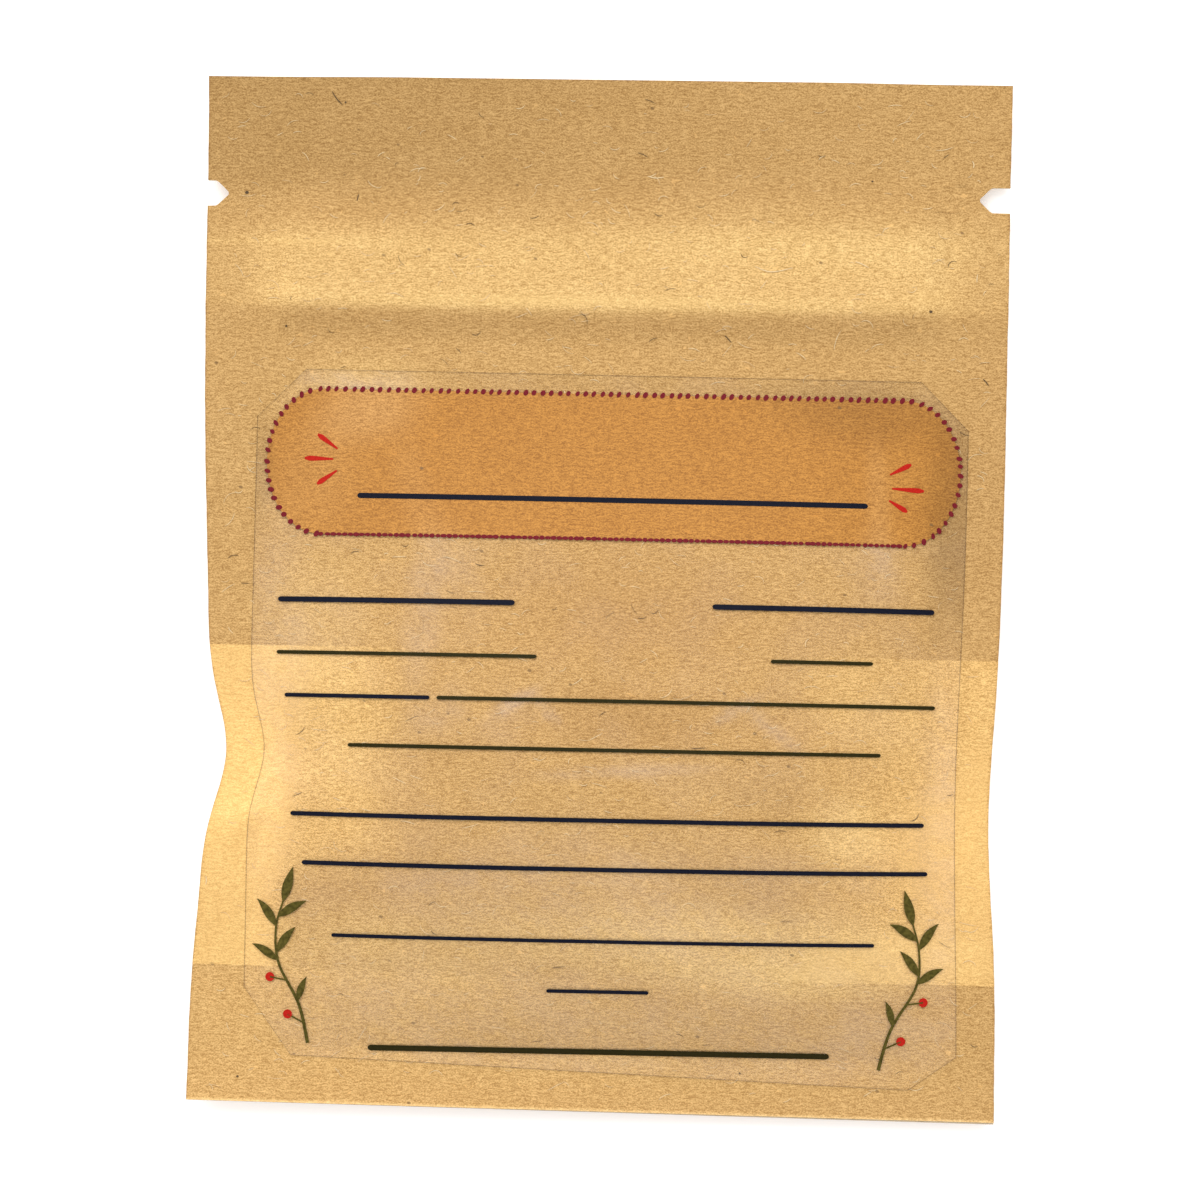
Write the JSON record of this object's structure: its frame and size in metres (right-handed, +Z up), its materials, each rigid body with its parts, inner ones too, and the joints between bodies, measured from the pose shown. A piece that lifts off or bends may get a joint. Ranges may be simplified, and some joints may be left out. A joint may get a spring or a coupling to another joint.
{
  "type": "kraft paper zip pouch",
  "caption": "Small kraft paper zip pouch lying flat, with tear notches, a clear label on its front, a frosted window in its back and cardamom pods inside.",
  "frame": {"origin": "centre of the pouch's outline, on the surface that it rests on", "axes": "+X across the pouch to its right, +Y along it towards the zip and the mouth, +Z up, out of the labelled front"},
  "size_m": [0.07, 0.0904, 0.0093],
  "materials": {
    "kraft_paper": "uncoated brown kraft paper with visible fibres, laminated inside with film",
    "frosted_film": "frosted translucent film, heat sealed at the edges",
    "zip_plastic": "milky moulded polythene",
    "label_film": "thin clear adhesive film with printed rules and border",
    "pod_husk": "dry fibrous green husk, ribbed lengthwise"
  },
  "bodies": {
    "root": {"front_panel": "kraft_paper", "back_paper_upper": "kraft_paper", "back_paper_lower": "kraft_paper", "back_film": "frosted_film", "zip_channel": "zip_plastic", "zip_rib": "zip_plastic", "label": "label_film", "pod_01": "pod_husk", "pod_02": "pod_husk", "pod_03": "pod_husk", "pod_04": "pod_husk", "pod_05": "pod_husk", "pod_06": "pod_husk", "pod_07": "pod_husk", "pod_08": "pod_husk", "pod_09": "pod_husk", "pod_10": "pod_husk"}
  },
  "joints": []
}
